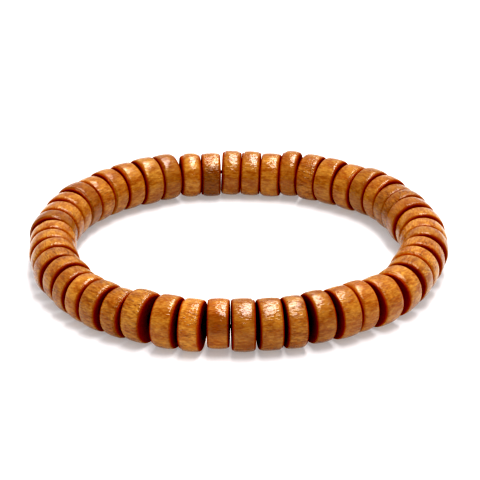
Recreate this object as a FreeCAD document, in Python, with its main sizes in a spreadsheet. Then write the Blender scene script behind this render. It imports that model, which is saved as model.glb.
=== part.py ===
import FreeCAD, Part
import math
import os
import Sketcher

# Beaded stretch bracelet: fifty turned wooden disc beads threaded on one closed loop of elastic cord.
# It lies flat on a table. Lengths are in millimetres and angles in degrees. The origin is the middle of
# the footprint on the table, +Z is up, and the front of the bracelet points to -Y.

# Sizes that every bead shares, and the cord.
SHARED_SIZES = (
    ("hole_diameter", 2.2),
    ("hole_chamfer", 0.2),
    ("rim_crown", 0.08),
    ("cord_diameter", 0.6),
    ("cord_height", 4.15),
)

# A row for each bead, threaded from the front middle to the right, round the back and home. room is the
# spare gap before the next bead. turn swings the bead about the vertical and tip raises its far face.
# lift is how far it hangs above the table, and sway how far it stands out of the ring.
BEAD_COLUMNS = ("diameter", "thickness", "edge", "room", "turn", "tip", "lift", "sway")
BEADS = (
    (8.05, 3.25, 0.50, 0.14, 3.0, 0.5, 0.45, -0.25),
    (8.55, 3.60, 0.60, 0.20, 0.5, 0.0, 0.10, -0.05),
    (8.35, 3.60, 0.60, 0.16, -1.5, 0.0, 0.20, 0.00),
    (8.45, 3.15, 0.55, 0.14, -3.5, 0.0, 0.10, 0.00),
    (8.45, 3.35, 0.65, 0.30, 0.0, 0.0, 0.20, -0.30),
    (8.40, 3.35, 0.40, 0.14, 0.5, 0.0, 0.15, -0.15),
    (8.35, 3.30, 0.75, 0.14, -3.5, 0.0, 0.15, -0.35),
    (8.25, 3.80, 0.60, 0.52, -2.5, 0.0, 0.00, 0.05),
    (8.00, 3.60, 0.60, 0.30, 2.0, 0.0, 0.05, 0.00),
    (8.05, 3.35, 0.65, 0.16, 3.5, 0.0, 0.15, -0.20),
    (8.20, 3.40, 0.70, 0.16, 0.5, 0.0, 0.05, -0.55),
    (8.20, 3.45, 0.65, 0.13, 1.5, 0.0, 0.05, -0.45),
    (8.25, 3.45, 0.70, 0.13, 0.0, 0.0, 0.15, -0.15),
    (8.15, 3.40, 0.75, 0.13, -0.5, 0.0, 0.05, -0.15),
    (8.30, 3.45, 0.65, 0.13, 0.5, 0.0, 0.10, -0.10),
    (8.55, 3.40, 0.70, 0.13, 2.0, 0.0, 0.10, -0.50),
    (8.35, 3.15, 0.75, 0.13, 1.0, -1.0, 0.15, -0.10),
    (8.10, 3.05, 0.60, 0.13, 0.0, -0.5, 0.05, 0.10),
    (8.30, 3.10, 0.65, 0.13, 0.0, -1.0, 0.15, 0.45),
    (8.45, 3.30, 0.70, 0.13, 0.5, 0.0, 0.15, 0.45),
    (8.20, 3.45, 0.65, 0.18, 0.0, 0.0, 0.10, 0.05),
    (8.30, 3.50, 0.60, 0.13, 1.0, 0.0, 0.20, -0.10),
    (8.30, 3.40, 0.65, 0.13, 1.5, 0.0, 0.15, 0.00),
    (8.25, 3.05, 0.75, 0.18, 6.0, 0.0, 0.20, 0.25),
    (7.85, 3.25, 0.60, 0.18, 4.0, 0.5, 0.00, -0.40),
    (8.00, 3.30, 0.60, 0.17, 1.5, 1.5, 0.05, -0.45),
    (8.05, 3.35, 0.75, 0.20, -3.5, 2.0, 0.05, -0.25),
    (7.85, 3.15, 0.50, 0.36, -5.5, 0.5, 0.00, -0.50),
    (7.90, 3.20, 0.90, 0.50, -9.0, 0.0, 0.05, -0.05),
    (8.30, 3.30, 0.80, 0.13, 0.5, 0.0, 0.05, 0.10),
    (8.45, 3.55, 0.70, 0.15, -0.5, 0.0, 0.10, -0.15),
    (8.30, 3.45, 0.65, 0.13, 0.0, 0.5, 0.10, 0.05),
    (8.20, 3.35, 0.60, 0.13, -0.5, 0.0, 0.10, 0.20),
    (8.05, 3.40, 0.70, 0.20, -1.0, 0.0, 0.10, 0.05),
    (8.30, 3.45, 0.65, 0.15, -0.5, 0.0, 0.10, 0.15),
    (8.15, 3.45, 0.75, 0.15, 0.5, 0.5, 0.05, 0.00),
    (8.05, 3.45, 0.70, 0.13, 0.0, 0.0, 0.05, -0.20),
    (8.10, 3.35, 0.65, 0.13, 0.5, 0.0, 0.05, -0.10),
    (8.00, 3.40, 0.75, 0.16, 1.0, 0.0, 0.05, -0.55),
    (8.00, 3.30, 0.70, 0.16, -1.0, 0.0, 0.05, -0.50),
    (8.15, 3.35, 0.80, 0.13, 0.0, 0.0, 0.10, -0.55),
    (8.10, 3.35, 0.60, 0.13, 0.5, 0.0, 0.05, -0.10),
    (8.15, 3.25, 0.65, 0.13, 1.0, 0.5, 0.05, -0.25),
    (7.95, 3.10, 0.60, 0.13, 1.0, 0.0, 0.00, 0.15),
    (8.05, 3.10, 0.80, 0.13, 0.5, 0.0, 0.00, 0.35),
    (8.20, 3.45, 0.75, 0.13, -0.5, -0.5, 0.00, 0.60),
    (8.00, 3.30, 0.70, 0.13, -1.5, 0.5, 0.00, 0.50),
    (8.55, 3.55, 0.75, 0.15, -4.5, 0.0, 0.05, 0.30),
    (8.65, 3.45, 0.65, 0.13, 1.0, 0.0, 0.00, 0.45),
    (8.50, 3.20, 0.60, 0.22, 1.0, 0.0, 0.00, 0.45),
)
# The first bead lies this far short of the front middle.
FIRST_BEAD_ANGLE = -5.3

doc = FreeCAD.newDocument("stretch_bracelet")
sheet = doc.addObject("Spreadsheet::Sheet", "Sizes")
sheet_rows = []


def bead_name(number):
    return "bead_%02d" % number


def add_size(alias, value):
    """Writes one driving size on the next row of the sheet: its name, and its value under that alias."""
    sheet_rows.append(alias)
    row = len(sheet_rows)
    sheet.set("A%d" % row, alias)
    sheet.set("B%d" % row, repr(value))
    sheet.setAlias("B%d" % row, alias)


def size(alias):
    return float(sheet.get(alias))


def bead_size(number, column):
    return size("%s_%s" % (bead_name(number), column))


def clear_length(number, turn_between):
    """The cord's length from a bead's middle to the next one's, as near as their turned faces allow.

    Two discs that are turned against each other meet first at the inside of the ring, at the end of
    the smaller flat face, so that reach times the sine of the turn is added to the half thicknesses.
    """
    following = number % len(BEADS) + 1
    reach = min(
        bead_size(near, "diameter") / 2 - bead_size(near, "edge") / 2
        for near in (number, following)
    )
    halves = (bead_size(number, "thickness") + bead_size(following, "thickness")) / 2
    return halves + reach * abs(math.sin(turn_between)) + bead_size(number, "room")


def thread_beads():
    """Threads all the beads into a closed ring. Returns the ring's radius and each bead's angle."""
    numbers = range(1, len(BEADS) + 1)
    steps = [2 * math.pi / len(BEADS) for _ in numbers]
    radius = 0.0
    for _ in range(30):
        lengths = []
        for number, step in zip(numbers, steps):
            following = number % len(BEADS) + 1
            swing = bead_size(following, "turn") - bead_size(number, "turn")
            lengths.append(clear_length(number, step + math.radians(swing)))
        radius = sum(lengths) / (2 * math.pi)
        steps = [length / radius for length in lengths]
    angles = [math.radians(FIRST_BEAD_ANGLE)]
    for step in steps[:-1]:
        angles.append(angles[-1] + step)
    return radius, angles


def draw_half_section(body, number):
    """Sketches half of a bead's section: hole wall, two flat faces, and a slightly crowned rim."""
    name = bead_name(number)
    sketch = body.newObject("Sketcher::SketchObject", name + "_section")
    plane = [item for item in body.Origin.OriginFeatures if item.Role == "XY_Plane"][0]
    sketch.AttachmentSupport = [(plane, "")]
    sketch.MapMode = "FlatFace"
    half = bead_size(number, "thickness") / 2
    inner = size("hole_diameter") / 2
    crown = size("rim_crown")
    shoulder = bead_size(number, "diameter") / 2 - crown
    rim_radius = (half ** 2 + crown ** 2) / (2 * crown)
    rim_centre = shoulder - math.sqrt(rim_radius ** 2 - half ** 2)
    rim_start = math.atan2(shoulder - rim_centre, half)
    corners = [
        FreeCAD.Vector(-half, inner, 0),
        FreeCAD.Vector(half, inner, 0),
        FreeCAD.Vector(half, shoulder, 0),
        FreeCAD.Vector(-half, shoulder, 0),
    ]
    hole_wall = sketch.addGeometry(Part.LineSegment(corners[0], corners[1]), False)
    far_face = sketch.addGeometry(Part.LineSegment(corners[1], corners[2]), False)
    circle = Part.Circle(FreeCAD.Vector(0, rim_centre, 0), FreeCAD.Vector(0, 0, 1), rim_radius)
    rim = sketch.addGeometry(Part.ArcOfCircle(circle, rim_start, math.pi - rim_start), False)
    near_face = sketch.addGeometry(Part.LineSegment(corners[3], corners[0]), False)

    start, end = 1, 2
    origin_point = (-1, 1)
    sketch.addConstraint(Sketcher.Constraint("Coincident", hole_wall, end, far_face, start))
    sketch.addConstraint(Sketcher.Constraint("Coincident", far_face, end, rim, start))
    sketch.addConstraint(Sketcher.Constraint("Coincident", rim, end, near_face, start))
    sketch.addConstraint(Sketcher.Constraint("Coincident", near_face, end, hole_wall, start))
    sketch.addConstraint(Sketcher.Constraint("Horizontal", hole_wall))
    sketch.addConstraint(Sketcher.Constraint("Vertical", far_face))
    sketch.addConstraint(Sketcher.Constraint("Vertical", near_face))
    sketch.addConstraint(Sketcher.Constraint("Equal", far_face, near_face))
    sized = (
        ("half_thickness", Sketcher.Constraint("DistanceX", *origin_point, hole_wall, end, half)),
        ("thickness", Sketcher.Constraint("DistanceX", hole_wall, start, hole_wall, end, 2 * half)),
        ("hole_radius", Sketcher.Constraint("DistanceY", *origin_point, hole_wall, end, inner)),
        ("shoulder_radius", Sketcher.Constraint("DistanceY", *origin_point, far_face, end, shoulder)),
        ("rim_radius", Sketcher.Constraint("Radius", rim, rim_radius)),
    )
    for constraint_name, constraint in sized:
        index = sketch.addConstraint(constraint)
        sketch.renameConstraint(index, constraint_name)

    thickness = "Sizes.%s_thickness" % name
    shoulder_size = "Sizes.%s_diameter / 2 - Sizes.rim_crown" % name
    rim_size = "(%s * %s / 4 + Sizes.rim_crown * Sizes.rim_crown) / (2 * Sizes.rim_crown)"
    sketch.setExpression("Constraints.half_thickness", thickness + " / 2")
    sketch.setExpression("Constraints.thickness", thickness)
    sketch.setExpression("Constraints.hole_radius", "Sizes.hole_diameter / 2")
    sketch.setExpression("Constraints.shoulder_radius", shoulder_size)
    sketch.setExpression("Constraints.rim_radius", rim_size % (thickness, thickness))
    sketch.Visibility = False
    return sketch


def round_edges_of(feature, radius):
    """Names of the circular edges of a feature that have this radius and lie round the bead's axis."""
    names = []
    for index, edge in enumerate(feature.Shape.Edges, start=1):
        circle = edge.Curve
        if not isinstance(circle, Part.Circle):
            continue
        along_axis = abs(circle.Axis.x) > 0.999
        if along_axis and abs(circle.Radius - radius) < 0.001:
            names.append("Edge%d" % index)
    return names


def make_bead(number):
    """Turns one bead about its own X axis, then rounds its two shoulders and eases its hole's mouths."""
    name = bead_name(number)
    body = doc.addObject("PartDesign::Body", name)
    body.Label = name
    sketch = draw_half_section(body, number)
    turned = body.newObject("PartDesign::Revolution", name + "_turned")
    turned.Profile = sketch
    turned.ReferenceAxis = (sketch, ["H_Axis"])
    turned.Angle = 360.0
    doc.recompute()

    shoulder = bead_size(number, "diameter") / 2 - size("rim_crown")
    rounded = body.newObject("PartDesign::Fillet", name + "_rounded")
    rounded.Base = (turned, round_edges_of(turned, shoulder))
    rounded.setExpression("Radius", "Sizes.%s_edge" % name)
    doc.recompute()

    eased = body.newObject("PartDesign::Chamfer", name + "_eased")
    eased.Base = (rounded, round_edges_of(rounded, size("hole_diameter") / 2))
    eased.setExpression("Size", "Sizes.hole_chamfer")
    body.Tip = eased
    doc.recompute()
    return body


def bead_placement(number, angle, radius):
    """Sets a bead's own X axis along the ring, at its angle from the front, with its small faults."""
    out = radius + bead_size(number, "sway")
    height = bead_size(number, "diameter") / 2 + bead_size(number, "lift")
    middle = FreeCAD.Vector(out * math.sin(angle), -out * math.cos(angle), height)
    heading = math.degrees(angle) + bead_size(number, "turn")
    swung = FreeCAD.Rotation(FreeCAD.Vector(0, 0, 1), heading)
    tipped = FreeCAD.Rotation(FreeCAD.Vector(0, 1, 0), -bead_size(number, "tip"))
    return FreeCAD.Placement(middle, swung.multiply(tipped))


def make_cord():
    """The elastic cord: one closed round loop through all the holes."""
    cord = doc.addObject("Part::Torus", "elastic_cord")
    cord.Label = "elastic_cord"
    cord.setExpression("Radius1", "Sizes.ring_radius")
    cord.setExpression("Radius2", "Sizes.cord_diameter / 2")
    return cord


def centre_on_origin(parts):
    """Moves all the parts together until the whole footprint's middle is above the origin."""
    box = FreeCAD.BoundBox()
    for part in parts:
        box.add(part.Shape.optimalBoundingBox(False))
    shift = FreeCAD.Vector(-box.Center.x, -box.Center.y, -box.ZMin)
    for part in parts:
        part.Placement = FreeCAD.Placement(part.Placement.Base + shift, part.Placement.Rotation)
    return shift


def check_and_write(parts):
    """Stops on any failed object or bad shape, and only then writes each part's file."""
    for item in doc.Objects:
        faults = [state for state in item.State if state in ("Invalid", "Error")]
        if faults:
            raise RuntimeError("%s is %s" % (item.Label, faults[0]))
    for part in parts:
        shape = part.Shape
        if shape.isNull() or not shape.isValid() or len(shape.Solids) != 1:
            raise RuntimeError("%s has no valid single solid" % part.Label)
    for part in parts:
        part.Shape.exportStep("parts/%s.step" % part.Label)


for alias, value in SHARED_SIZES:
    add_size(alias, value)
for number, row in enumerate(BEADS, start=1):
    for column, value in zip(BEAD_COLUMNS, row):
        add_size("%s_%s" % (bead_name(number), column), value)
doc.recompute()

ring_radius, bead_angles = thread_beads()
add_size("ring_radius", round(ring_radius, 3))
doc.recompute()

pieces = []
for number, angle in enumerate(bead_angles, start=1):
    bead = make_bead(number)
    bead.Placement = bead_placement(number, angle, ring_radius)
    pieces.append(bead)
elastic_cord = make_cord()
elastic_cord.Placement.Base = FreeCAD.Vector(0, 0, size("cord_height"))
pieces.append(elastic_cord)
doc.recompute()

moved = centre_on_origin(pieces)
doc.recompute()
print("ring radius %.3f, moved by %.3f %.3f %.3f" % (ring_radius, moved.x, moved.y, moved.z))

os.makedirs("parts", exist_ok=True)
check_and_write(pieces)
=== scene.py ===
import math

import bpy
import numpy as np
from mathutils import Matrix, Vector


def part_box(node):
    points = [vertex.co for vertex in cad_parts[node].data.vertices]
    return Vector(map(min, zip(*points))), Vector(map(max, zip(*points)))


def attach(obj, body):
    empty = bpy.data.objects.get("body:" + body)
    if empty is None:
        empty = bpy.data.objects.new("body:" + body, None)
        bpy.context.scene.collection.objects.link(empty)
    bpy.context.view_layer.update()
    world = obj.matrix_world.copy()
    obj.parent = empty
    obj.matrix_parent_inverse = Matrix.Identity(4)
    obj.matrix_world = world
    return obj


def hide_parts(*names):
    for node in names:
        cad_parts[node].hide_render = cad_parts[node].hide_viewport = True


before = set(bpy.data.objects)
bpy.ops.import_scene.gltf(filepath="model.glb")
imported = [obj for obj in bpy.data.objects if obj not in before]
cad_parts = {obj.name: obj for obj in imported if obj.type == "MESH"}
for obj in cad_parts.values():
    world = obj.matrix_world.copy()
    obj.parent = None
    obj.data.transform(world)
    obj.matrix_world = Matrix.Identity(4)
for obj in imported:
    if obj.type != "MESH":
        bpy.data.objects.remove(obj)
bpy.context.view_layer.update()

MM = 0.001

# Wooden beads
# Fifty discs sawn from a turned hardwood rod, drilled along its grain, tumbled to round their edges,
# stained amber and dipped in gloss varnish. Each replaces its plain solid, on the same hole and faces.
# Sizes are in millimetres. Points count round a bead, and steps along each stretch of its outline.
POINTS_AROUND = 120
FACE_POINTS = 90
WALL_STEPS = 5
MOUTH_STEPS = 3
FACE_STEPS = 8
EDGE_STEPS = 12
RIM_STEPS = 18
BORE_EASE = 0.2
RIM_CROWN = 0.08
FACE_GAP = 0.01
OUT_OF_ROUND = 0.025
EDGE_WEAR = 0.03
MOST_DENTS = 14
DENT_WIDTHS = (0.25, 0.7)
DENT_DEPTHS = (0.015, 0.05)
DENT_STRETCH = 1.6
# The share of its tone that the wood loses on its faces towards the hole and in the bore: painted shade,
# for the shade in the hole and between the faces of neighbouring beads.
HOLE_PAINTED_SHADE = 0.5

# Each bead as it lies in the ring. tone is how light its wood took the stain, red how far it leans from
# gold to red-brown, grain how strongly its pores show as dark dashes, and dents how hard its rim was
# knocked.
LOOK_COLUMNS = ("tone", "red", "grain", "dents")
BEAD_LOOKS = (
    (1.15, 0.45, 0.30, 0.9),
    (0.90, 0.50, 0.30, 0.7),
    (0.92, 0.20, 0.45, 0.8),
    (0.95, 0.30, 0.60, 1.0),
    (0.90, 0.35, 0.40, 1.0),
    (1.00, 0.25, 0.40, 0.5),
    (1.08, 0.35, 0.30, 0.7),
    (1.05, 0.20, 0.40, 0.8),
    (1.05, 0.10, 0.45, 0.6),
    (0.95, 0.10, 0.70, 0.5),
    (1.10, 0.05, 0.55, 0.7),
    (1.07, 0.40, 0.60, 1.0),
    (0.90, 0.35, 0.20, 0.4),
    (1.10, 0.10, 0.45, 0.6),
    (1.00, 0.15, 0.20, 0.3),
    (0.97, 0.60, 0.40, 1.0),
    (0.85, 0.40, 0.60, 0.5),
    (0.85, 0.45, 0.60, 0.5),
    (1.00, 0.35, 0.30, 0.6),
    (0.85, 0.35, 0.40, 0.4),
    (1.00, 0.20, 0.30, 0.5),
    (0.95, 0.20, 0.30, 0.6),
    (1.00, 0.35, 0.70, 0.9),
    (0.95, 0.55, 0.30, 0.5),
    (1.00, 0.15, 0.30, 0.5),
    (0.92, 0.30, 0.25, 0.5),
    (0.95, 0.40, 0.20, 0.6),
    (1.07, 0.20, 0.60, 0.7),
    (1.00, 0.05, 0.25, 0.3),
    (0.85, 0.45, 0.30, 0.6),
    (0.90, 0.05, 0.25, 0.5),
    (1.00, 0.25, 0.30, 0.5),
    (1.00, 0.25, 0.40, 0.5),
    (1.05, 0.20, 0.50, 0.6),
    (0.85, 0.70, 0.40, 0.8),
    (1.00, 0.30, 0.30, 0.4),
    (1.05, 0.15, 0.50, 0.5),
    (0.78, 0.65, 0.30, 0.3),
    (1.05, 0.20, 0.30, 0.4),
    (1.02, 0.20, 0.30, 0.4),
    (1.00, 0.20, 0.40, 1.0),
    (0.95, 0.25, 0.70, 1.0),
    (1.00, 0.20, 0.60, 0.6),
    (0.95, 0.20, 0.60, 0.6),
    (1.05, 0.10, 0.20, 0.3),
    (0.92, 0.15, 0.60, 0.9),
    (0.95, 0.15, 0.80, 1.0),
    (1.00, 0.05, 0.70, 1.0),
    (1.02, 0.20, 0.30, 0.5),
    (1.20, 0.00, 0.60, 0.7),
)

# Darker or redder places on single beads. turn is degrees round the rim from its top towards the ring's
# outside, spread how far it reaches each way, and shade and redden how much it takes away and adds. A
# patch has a fairly firm border, as where heartwood meets sapwood.
PATCH_COLUMNS = ("bead", "turn", "spread", "shade", "redden")
PATCH_FIRMNESS = 8
WOOD_PATCHES = (
    (1, 68, 26, 0.28, 0.5),
    (28, -95, 50, 0.38, 0.6),
)


def bead_place(node):
    """Where a bead lies, measured on its plain solid: its middle, the way along its hole, and its sizes.

    The middle is that of its box, because the solid is even about it. The hole's way is the direction in
    which the surface spreads least, the smallest axis of its spread weighted by area.
    """
    mesh = node.data
    points = np.empty(len(mesh.vertices) * 3)
    mesh.vertices.foreach_get("co", points)
    points = points.reshape(-1, 3) / MM
    corners = np.empty(len(mesh.loop_triangles) * 3, dtype=np.int32)
    mesh.loop_triangles.foreach_get("vertices", corners)
    triangles = points[corners.reshape(-1, 3)]
    middle = (points.min(axis=0) + points.max(axis=0)) / 2
    first_sides = triangles[:, 1] - triangles[:, 0]
    second_sides = triangles[:, 2] - triangles[:, 0]
    areas = np.linalg.norm(np.cross(first_sides, second_sides), axis=1)
    offsets = triangles.mean(axis=1) - middle
    spread = (offsets * areas[:, None]).T @ offsets
    along = np.linalg.eigh(spread)[1][:, 0]
    heading = np.array((-middle[1], middle[0], 0.0))
    along = along * np.sign(along @ heading)
    from_middle = points - middle
    depth = from_middle @ along
    reach = np.linalg.norm(from_middle - depth[:, None] * along, axis=1)
    half = depth.max()
    radius = reach.max()
    on_face = depth > half - 0.01
    face_reach = reach[on_face].max()
    return {
        "middle": middle,
        "way": along,
        "half": half,
        "radius": radius,
        "edge": radius - RIM_CROWN - face_reach,
        "bore": reach.min(),
    }


def face_ring(bead, side):
    """The circle where a bead's flat face ends, as points round it. side is 1 for the face ahead, or -1."""
    turn = np.linspace(0, 2 * np.pi, FACE_POINTS, endpoint=False)[:, None]
    across = np.cross(bead["way"], (0.0, 0.0, 1.0))
    across /= np.linalg.norm(across)
    up = np.cross(across, bead["way"])
    reach = bead["radius"] - RIM_CROWN - bead["edge"]
    face_middle = bead["middle"] + side * bead["half"] * bead["way"]
    return face_middle + reach * (np.cos(turn) * up + np.sin(turn) * across)


def gap_between(bead, following):
    """The least distance from either bead's face circle to the plane of the other's face."""
    ahead = (face_ring(following, -1) - bead["middle"]) @ bead["way"] - bead["half"]
    behind = (following["middle"] - face_ring(bead, 1)) @ following["way"] - following["half"]
    return min(ahead.min(), behind.min())


def stretch(first, last, steps):
    """Even steps from first towards last, without last itself, where the next stretch begins."""
    return np.linspace(first, last, steps + 1)[:-1]


def bead_outline(half, radius, edge, bore, swell_ahead, swell_behind):
    """Half of a bead's section, as closed arrays of distance along the hole, reach from it, and end grain.

    Bore wall, eased mouth, flat face, a quarter round of the edge's size, then the rim, whose reach falls
    off by the crown times the square of its share of the half thickness, and the same again home. Each
    face is then pushed out by its swell, in proportion to how far round the edge a point has come. End
    grain is 1 on the faces and falls to 0 round the edge, a little faster than a cosine.
    """
    shoulder = radius - RIM_CROWN
    wall = stretch(-1, 1, WALL_STEPS) * (half - BORE_EASE)
    mouth = stretch(0, np.pi / 2, MOUTH_STEPS)
    face = stretch(0, 1, FACE_STEPS) ** 0.8
    arc = stretch(0, np.pi / 2, EDGE_STEPS)
    rim = stretch(1, -1, RIM_STEPS) * (half - edge)
    face_inner = bore + BORE_EASE
    face_outer = shoulder - edge
    side_along = np.concatenate((
        half - BORE_EASE + BORE_EASE * np.sin(mouth),
        np.full(len(face), half),
        half - edge + edge * np.cos(arc),
    ))
    side_reach = np.concatenate((
        face_inner - BORE_EASE * np.cos(mouth),
        face_inner + (face_outer - face_inner) * face,
        face_outer + edge * np.sin(arc),
    ))
    side_end = np.concatenate((np.ones(len(mouth) + len(face)), np.cos(arc) ** 1.2))
    rim_reach = shoulder + RIM_CROWN * (1 - (rim / (half - edge)) ** 2)
    along = np.concatenate((wall, side_along, rim, [edge - half], -side_along[:0:-1]))
    reach = np.concatenate((np.full(len(wall), bore), side_reach, rim_reach, [shoulder], side_reach[:0:-1]))
    end = np.concatenate((np.ones(len(wall)), side_end, np.zeros(len(rim)), [0.0], side_end[:0:-1]))
    towards_face = np.clip((np.abs(along) - half + edge) / edge, 0, 1)
    along = along + towards_face * np.where(along > 0, swell_ahead, -swell_behind)
    return along, reach, end


def slow_wave(angles, rng, lowest, highest):
    """A smooth closed wave of one turn: cosines of whole numbers of periods, the faster the weaker."""
    wave = np.zeros_like(angles)
    for periods in range(lowest, highest + 1):
        wave += rng.normal() / periods * np.cos(periods * angles + rng.uniform(0, 2 * np.pi))
    return wave


def make_bead(number, bead, look, swells):
    """Turns the outline about the hole into one closed skin, and gives it its own small faults.

    The rim's reach, the two faces and the two edges each get a slow wave round the bead. Shallow dents
    are bell curves of the angle round the rim and the distance along it, and go inwards only.
    """
    rng = np.random.default_rng(number)
    middle, way, half, radius = bead["middle"], bead["way"], bead["half"], bead["radius"]
    along, reach, end = bead_outline(half, radius, bead["edge"], bead["bore"], *swells)
    turn = np.linspace(0, 2 * np.pi, POINTS_AROUND, endpoint=False)

    out_of_round = OUT_OF_ROUND * slow_wave(turn, rng, 2, 6)
    x = np.repeat(along[None, :], POINTS_AROUND, axis=0)
    r = np.repeat(reach[None, :], POINTS_AROUND, axis=0)
    share = np.clip((r - bead["bore"]) / (radius - bead["bore"]), 0, 1)
    r += out_of_round[:, None] * share ** 2
    for side in (-1, 1):
        wear = EDGE_WEAR * slow_wave(turn, rng, 1, 9)
        wear -= wear.max()
        on_side = 4 * end * (1 - end) * (side * along > 0)
        x += side * wear[:, None] * on_side
        r += wear[:, None] * on_side

    on_rim = (1 - end[None, :]) ** 2
    for _ in range(int(MOST_DENTS * look["dents"])):
        at_turn = rng.uniform(0, 2 * np.pi)
        at_along = rng.uniform(-half, half)
        width = rng.uniform(*DENT_WIDTHS)
        deep = rng.uniform(*DENT_DEPTHS)
        aside = (np.angle(np.exp(1j * (turn - at_turn))) * radius / width)[:, None]
        onward = (x - at_along) / (DENT_STRETCH * width)
        r -= deep * np.exp(-aside ** 2 - onward ** 2) * on_rim

    up = np.array((0.0, 0.0, 1.0))
    out = np.cross(way, up)
    out /= np.linalg.norm(out)
    up = np.cross(out, way)
    round_up = r * np.cos(turn)[:, None]
    round_out = r * np.sin(turn)[:, None]
    points = middle + x[..., None] * way + round_up[..., None] * up + round_out[..., None] * out

    # The tone falls on the faces towards the hole and in the bore: painted shade, not stain. The patches
    # below are the wood's own colour.
    tone = look["tone"] * (1 - HOLE_PAINTED_SHADE * end[None, :] * (1 - share) ** 2)
    red = np.full(x.shape, look["red"])
    for patch in WOOD_PATCHES:
        patch = dict(zip(PATCH_COLUMNS, patch))
        if patch["bead"] == number:
            aside = np.angle(np.exp(1j * (turn - math.radians(patch["turn"]))))
            strength = 1 / (1 + (aside / math.radians(patch["spread"])) ** PATCH_FIRMNESS)
            tone -= patch["shade"] * strength[:, None]
            red += patch["redden"] * strength[:, None]

    around, across = x.shape
    first = np.arange(around)[:, None] * across + np.arange(across)[None, :]
    next_turn = np.roll(first, -1, axis=0)
    quads = np.stack(
        (first, next_turn, np.roll(next_turn, -1, axis=1), np.roll(first, -1, axis=1)), axis=-1,
    )
    mesh = bpy.data.meshes.new("bead_%02d_skin" % number)
    mesh.from_pydata((points.reshape(-1, 3) * MM).tolist(), [], quads.reshape(-1, 4).tolist())
    mesh.polygons.foreach_set("use_smooth", np.ones(len(mesh.polygons), dtype=bool))

    from_another_rod = rng.uniform(-500, 500, 3)
    wood = np.stack((x, round_up, round_out), axis=-1) + from_another_rod
    layer = mesh.attributes.new("wood_place", "FLOAT_VECTOR", "POINT")
    layer.data.foreach_set("vector", wood.astype(np.float32).ravel())
    for name, values in (
        ("tone", tone),
        ("red", red),
        ("grain", np.full(x.shape, look["grain"])),
        ("end_grain", np.repeat(end[None, :], around, axis=0)),
    ):
        layer = mesh.attributes.new(name, "FLOAT", "POINT")
        layer.data.foreach_set("value", values.astype(np.float32).ravel())
    mesh.update()
    skin = bpy.data.objects.new("bead_%02d_skin" % number, mesh)
    bpy.context.collection.objects.link(skin)
    return skin


def add_node(tree, kind, links=(), **settings):
    """A new node with these settings. links pairs each of its inputs with an output or a plain value."""
    made = tree.nodes.new(kind)
    for name, value in settings.items():
        setattr(made, name, value)
    for socket, source in links:
        if isinstance(source, bpy.types.NodeSocket):
            tree.links.new(source, made.inputs[socket])
        else:
            made.inputs[socket].default_value = source
    return made


def attribute(tree, name, output="Fac"):
    return add_node(tree, "ShaderNodeAttribute", attribute_name=name).outputs[output]


def noise(tree, place, stretch, detail, roughness):
    """Noise in the wood, in features per millimetre along the grain and across it."""
    mapped = add_node(tree, "ShaderNodeMapping", [("Vector", place), ("Scale", stretch)])
    made = add_node(
        tree, "ShaderNodeTexNoise",
        [("Vector", mapped.outputs[0]), ("Scale", 1.0), ("Detail", detail), ("Roughness", roughness)],
    )
    return made.outputs["Fac"]


def remap(tree, value, low, high, to_low=0.0, to_high=1.0):
    """Eases from one value to another as the input goes from low to high, and stays there outside them."""
    made = add_node(
        tree, "ShaderNodeMapRange",
        [("Value", value), ("From Min", low), ("From Max", high), ("To Min", to_low), ("To Max", to_high)],
        interpolation_type="SMOOTHSTEP",
    )
    return made.outputs[0]


def maths(tree, operation, *values):
    return add_node(tree, "ShaderNodeMath", list(enumerate(values)), operation=operation).outputs[0]


def mix(tree, share, colour_a, colour_b, blend="MIX"):
    made = add_node(
        tree, "ShaderNodeMix", [(0, share), (6, colour_a), (7, colour_b)],
        data_type="RGBA", blend_type=blend,
    )
    return made.outputs[2]


varnished_wood = bpy.data.materials.new("varnished_wood")
varnished_wood.use_nodes = True
wood_tree = varnished_wood.node_tree
place = attribute(wood_tree, "wood_place", "Vector")
grain_share = attribute(wood_tree, "grain")
end_grain = attribute(wood_tree, "end_grain")
tone_with_hole_shade = attribute(wood_tree, "tone")
red_share = attribute(wood_tree, "red")

# Broad figure and finer streaks of light and dark wood, short dark pores in patches, and the varnish's
# shallow dimples and fine ridges. All run along the hole, as the grain does.
figure = noise(wood_tree, place, (0.35, 0.6, 0.6), 4.0, 0.6)
streaks = noise(wood_tree, place, (1.1, 2.8, 2.8), 4.0, 0.75)
flecks = noise(wood_tree, place, (0.9, 4.6, 4.6), 1.0, 0.5)
fleck_places = noise(wood_tree, place, (0.4, 0.5, 0.5), 2.0, 0.5)
dimples = noise(wood_tree, place, (0.8, 1.5, 1.5), 1.0, 0.5)
ridges = noise(wood_tree, place, (1.1, 5.2, 5.2), 1.0, 0.5)

# Colours, from the lightest wood to the stain in the pores and on the sawn faces.
GOLD = (0.475, 0.235, 0.045, 1.0)
AMBER = (0.26, 0.071, 0.006, 1.0)
RED_BROWN = (0.23, 0.055, 0.006, 1.0)
PORE = (0.09, 0.018, 0.003, 1.0)
END_STAIN = (0.24, 0.044, 0.004, 1.0)

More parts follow.
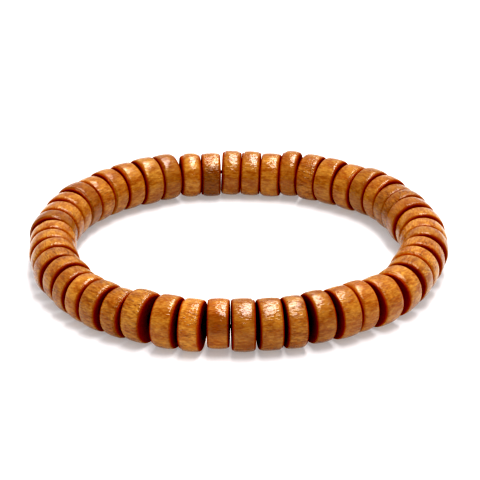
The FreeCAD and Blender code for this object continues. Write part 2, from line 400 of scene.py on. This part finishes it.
light_and_dark = maths(
    wood_tree, "ADD",
    remap(wood_tree, figure, 0.40, 0.60, 0.0, 0.5),
    remap(wood_tree, streaks, 0.38, 0.62, 0.0, 0.5),
)
body = mix(wood_tree, light_and_dark, GOLD, AMBER)
body = mix(wood_tree, maths(wood_tree, "MULTIPLY", red_share, 0.75), body, RED_BROWN)
fleck_strength = maths(
    wood_tree, "MULTIPLY",
    remap(wood_tree, flecks, 0.55, 0.60),
    maths(
        wood_tree, "MULTIPLY",
        remap(wood_tree, fleck_places, 0.36, 0.50),
        remap(wood_tree, grain_share, 0.15, 0.70),
    ),
)
groove_strength = maths(wood_tree, "MULTIPLY", remap(wood_tree, ridges, 0.32, 0.50, 0.45, 0.0), grain_share)
body = mix(wood_tree, groove_strength, body, RED_BROWN)
body = mix(wood_tree, maths(wood_tree, "MULTIPLY", fleck_strength, 0.42), body, PORE)
body = mix(wood_tree, remap(wood_tree, end_grain, 0.05, 0.9), body, END_STAIN)
# Ridge crests are lightened and the hollows between them slightly darkened: painted light and shade on the
# varnish's relief. The tone used here also carries the painted shade at the hole.
brightness = maths(wood_tree, "MULTIPLY", tone_with_hole_shade, remap(wood_tree, ridges, 0.4, 0.7, 0.97, 1.12))
brightness_colour = add_node(
    wood_tree, "ShaderNodeCombineColor", [(channel, brightness) for channel in range(3)],
).outputs[0]
toned = mix(wood_tree, 1.0, body, brightness_colour, "MULTIPLY")

# The varnish follows the ridges more on open-grained wood. Sawn faces are left nearly dull.
BUMP_DEPTH = 0.10 * MM
surface_height = maths(
    wood_tree, "ADD",
    maths(wood_tree, "MULTIPLY", dimples, 0.8),
    maths(wood_tree, "MULTIPLY", ridges, remap(wood_tree, grain_share, 0.1, 0.9, 0.6, 1.25)),
)
surface_height = maths(wood_tree, "ADD", surface_height, maths(wood_tree, "MULTIPLY", fleck_strength, -0.2))
varnish_bump = add_node(
    wood_tree, "ShaderNodeBump", [("Height", surface_height), ("Distance", BUMP_DEPTH), ("Strength", 1.0)],
).outputs[0]
coat_weight = remap(wood_tree, end_grain, 0.3, 0.9, 1.0, 0.03)
wood_shader = wood_tree.nodes["Principled BSDF"]
wood_tree.links.new(toned, wood_shader.inputs["Base Color"])
wood_tree.links.new(varnish_bump, wood_shader.inputs["Normal"])
wood_tree.links.new(varnish_bump, wood_shader.inputs["Coat Normal"])
wood_tree.links.new(coat_weight, wood_shader.inputs["Coat Weight"])
wood_shader.inputs["Roughness"].default_value = 0.5
wood_shader.inputs["Specular IOR Level"].default_value = 0.0
wood_shader.inputs["Coat Roughness"].default_value = 0.09
wood_shader.inputs["Coat IOR"].default_value = 1.5

# The solids stand clear of each other, where real beads touch. So each face swells by half of its gap,
# less the hair that keeps the skins from meeting.
placed = [bead_place(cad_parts["bead_%02d" % number]) for number in range(1, len(BEAD_LOOKS) + 1)]
half_gaps = [
    (gap_between(bead, following) - FACE_GAP) / 2
    for bead, following in zip(placed, placed[1:] + placed[:1])
]
for number, row in enumerate(BEAD_LOOKS, start=1):
    name = "bead_%02d" % number
    swells = (half_gaps[number - 1], half_gaps[number - 2])
    skin = make_bead(number, placed[number - 1], dict(zip(LOOK_COLUMNS, row)), swells)
    skin.data.materials.append(varnished_wood)
    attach(skin, "root")
    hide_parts(name)

# Elastic cord
# One closed loop of round elastic through all the holes, its knot drawn into a bead. Fine rubber strands
# under a braided skin, dark against the wood. Its solid already has its shape, so it only gets its finish.
STRAND_SCALE = 4000.0
STRAND_DEPTH = 0.03 * MM
DARK_STRAND = (0.030, 0.014, 0.008, 1.0)
LIGHT_STRAND = (0.075, 0.040, 0.025, 1.0)
braid = bpy.data.materials.new("braided_elastic")
braid.use_nodes = True
braid_tree = braid.node_tree
cord_place = add_node(braid_tree, "ShaderNodeTexCoord").outputs["Object"]
strands = add_node(
    braid_tree, "ShaderNodeTexNoise", [("Vector", cord_place), ("Scale", STRAND_SCALE), ("Detail", 2.0)],
).outputs["Fac"]
braid_bump = add_node(braid_tree, "ShaderNodeBump", [("Height", strands), ("Distance", STRAND_DEPTH)])
braid_shader = braid_tree.nodes["Principled BSDF"]
braid_colour = mix(braid_tree, strands, DARK_STRAND, LIGHT_STRAND)
braid_tree.links.new(braid_colour, braid_shader.inputs["Base Color"])
braid_tree.links.new(braid_bump.outputs[0], braid_shader.inputs["Normal"])
braid_shader.inputs["Roughness"].default_value = 0.7
elastic_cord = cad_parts["elastic_cord"]
elastic_cord.data.materials.clear()
elastic_cord.data.materials.append(braid)

# Studio table
# A wide white board of milky plastic, lit a little from below, evenly from all sides, and from above by
# a long softbox that runs from front to back. The softbox is the bright window that shows on each rim.
FLOOR_HALF = 1.5
BOARD_WHITE = (0.57, 0.56, 0.575, 1.0)
BOARD_GLOW = 0.25
board_corners = [(x * FLOOR_HALF, y * FLOOR_HALF, 0.0) for x, y in ((-1, -1), (1, -1), (1, 1), (-1, 1))]
board_mesh = bpy.data.meshes.new("white_board")
board_mesh.from_pydata(board_corners, [], [(0, 1, 2, 3)])
white_board = bpy.data.objects.new("white_board", board_mesh)
bpy.context.collection.objects.link(white_board)
matt_white = bpy.data.materials.new("matt_white")
matt_white.use_nodes = True
board_shader = matt_white.node_tree.nodes["Principled BSDF"]
board_shader.inputs["Base Color"].default_value = BOARD_WHITE
board_shader.inputs["Roughness"].default_value = 0.9
board_shader.inputs["Specular IOR Level"].default_value = 0.0
board_shader.inputs["Emission Color"].default_value = (1.0, 1.0, 1.0, 1.0)
board_shader.inputs["Emission Strength"].default_value = BOARD_GLOW
board_mesh.materials.append(matt_white)

SOFTBOX_DISTANCE = 1.0
SOFTBOX_WIDTH = 0.28
SOFTBOX_LENGTH = 1.2
SOFTBOX_WATTS = 11.5
LEAN_RIGHT = math.radians(7.0)
LEAN_BACK = math.radians(7.0)
softbox_light = bpy.data.lights.new("softbox", "AREA")
softbox_light.shape = "RECTANGLE"
softbox_light.size = SOFTBOX_WIDTH
softbox_light.size_y = SOFTBOX_LENGTH
softbox_light.energy = SOFTBOX_WATTS
softbox_light.color = (1.0, 0.975, 0.94)
softbox = bpy.data.objects.new("softbox", softbox_light)
softbox_way = Vector((math.tan(LEAN_RIGHT), math.tan(LEAN_BACK), 1.0)).normalized()
softbox.location = softbox_way * SOFTBOX_DISTANCE
softbox.rotation_euler = (-LEAN_BACK, LEAN_RIGHT, 0.0)
bpy.context.collection.objects.link(softbox)

# A wide weak panel softens what the softbox leaves, and the white room lights the rest.
CEILING_PLACE = Vector((0.22, 0.22, 1.05))
CEILING_SIDE = 1.1
CEILING_WATTS = 1.5
ceiling_light = bpy.data.lights.new("ceiling_panel", "AREA")
ceiling_light.shape = "SQUARE"
ceiling_light.size = CEILING_SIDE
ceiling_light.energy = CEILING_WATTS
ceiling = bpy.data.objects.new("ceiling_panel", ceiling_light)
ceiling.location = CEILING_PLACE
ceiling.rotation_euler = CEILING_PLACE.to_track_quat("Z", "Y").to_euler()
bpy.context.collection.objects.link(ceiling)

ROOM_COLOUR = (0.95, 0.965, 1.0, 1.0)
ROOM_STRENGTH = 0.62
room = bpy.data.worlds.new("white_room")
room.use_nodes = True
room_light = room.node_tree.nodes["Background"]
room_light.inputs["Color"].default_value = ROOM_COLOUR
room_light.inputs["Strength"].default_value = ROOM_STRENGTH
bpy.context.scene.world = room

# Camera
# A long lens from the front, 24.3 degrees above the table, as far off as makes the near and far beads
# differ as they do in the photograph. It aims at the ring's middle, half a bead above the table. The
# black level takes off the faint grey that the white board casts over dark places.
LENS_MM = 180.4
CAMERA_RISE = 24.3
CAMERA_DISTANCE = 0.408
AIM_HEIGHT = 0.004
SHIFT_RIGHT = 0.0056
SHIFT_UP = 0.0089
BLACK_LEVEL = (0.024, 0.026, 0.030)
cord_low, cord_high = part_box("elastic_cord")
aim = Vector(((cord_low[0] + cord_high[0]) / 2, (cord_low[1] + cord_high[1]) / 2, AIM_HEIGHT))
rise = math.radians(CAMERA_RISE)
back = Vector((0.0, -math.cos(rise), math.sin(rise)))
lens = bpy.data.cameras.new("camera")
lens.lens = LENS_MM
lens.sensor_width = 36.0
lens.shift_x = SHIFT_RIGHT
lens.shift_y = SHIFT_UP
lens.clip_start = 0.01
lens.clip_end = 20.0
camera = bpy.data.objects.new("camera", lens)
camera.location = aim + back * CAMERA_DISTANCE
camera.rotation_euler = back.to_track_quat("Z", "Y").to_euler()
bpy.context.collection.objects.link(camera)
bpy.context.scene.camera = camera
view = bpy.context.scene.view_settings
view.view_transform = "Standard"
view.look = "High Contrast"
view.use_curve_mapping = True
view.curve_mapping.black_level = BLACK_LEVEL

bpy.context.view_layer.update()
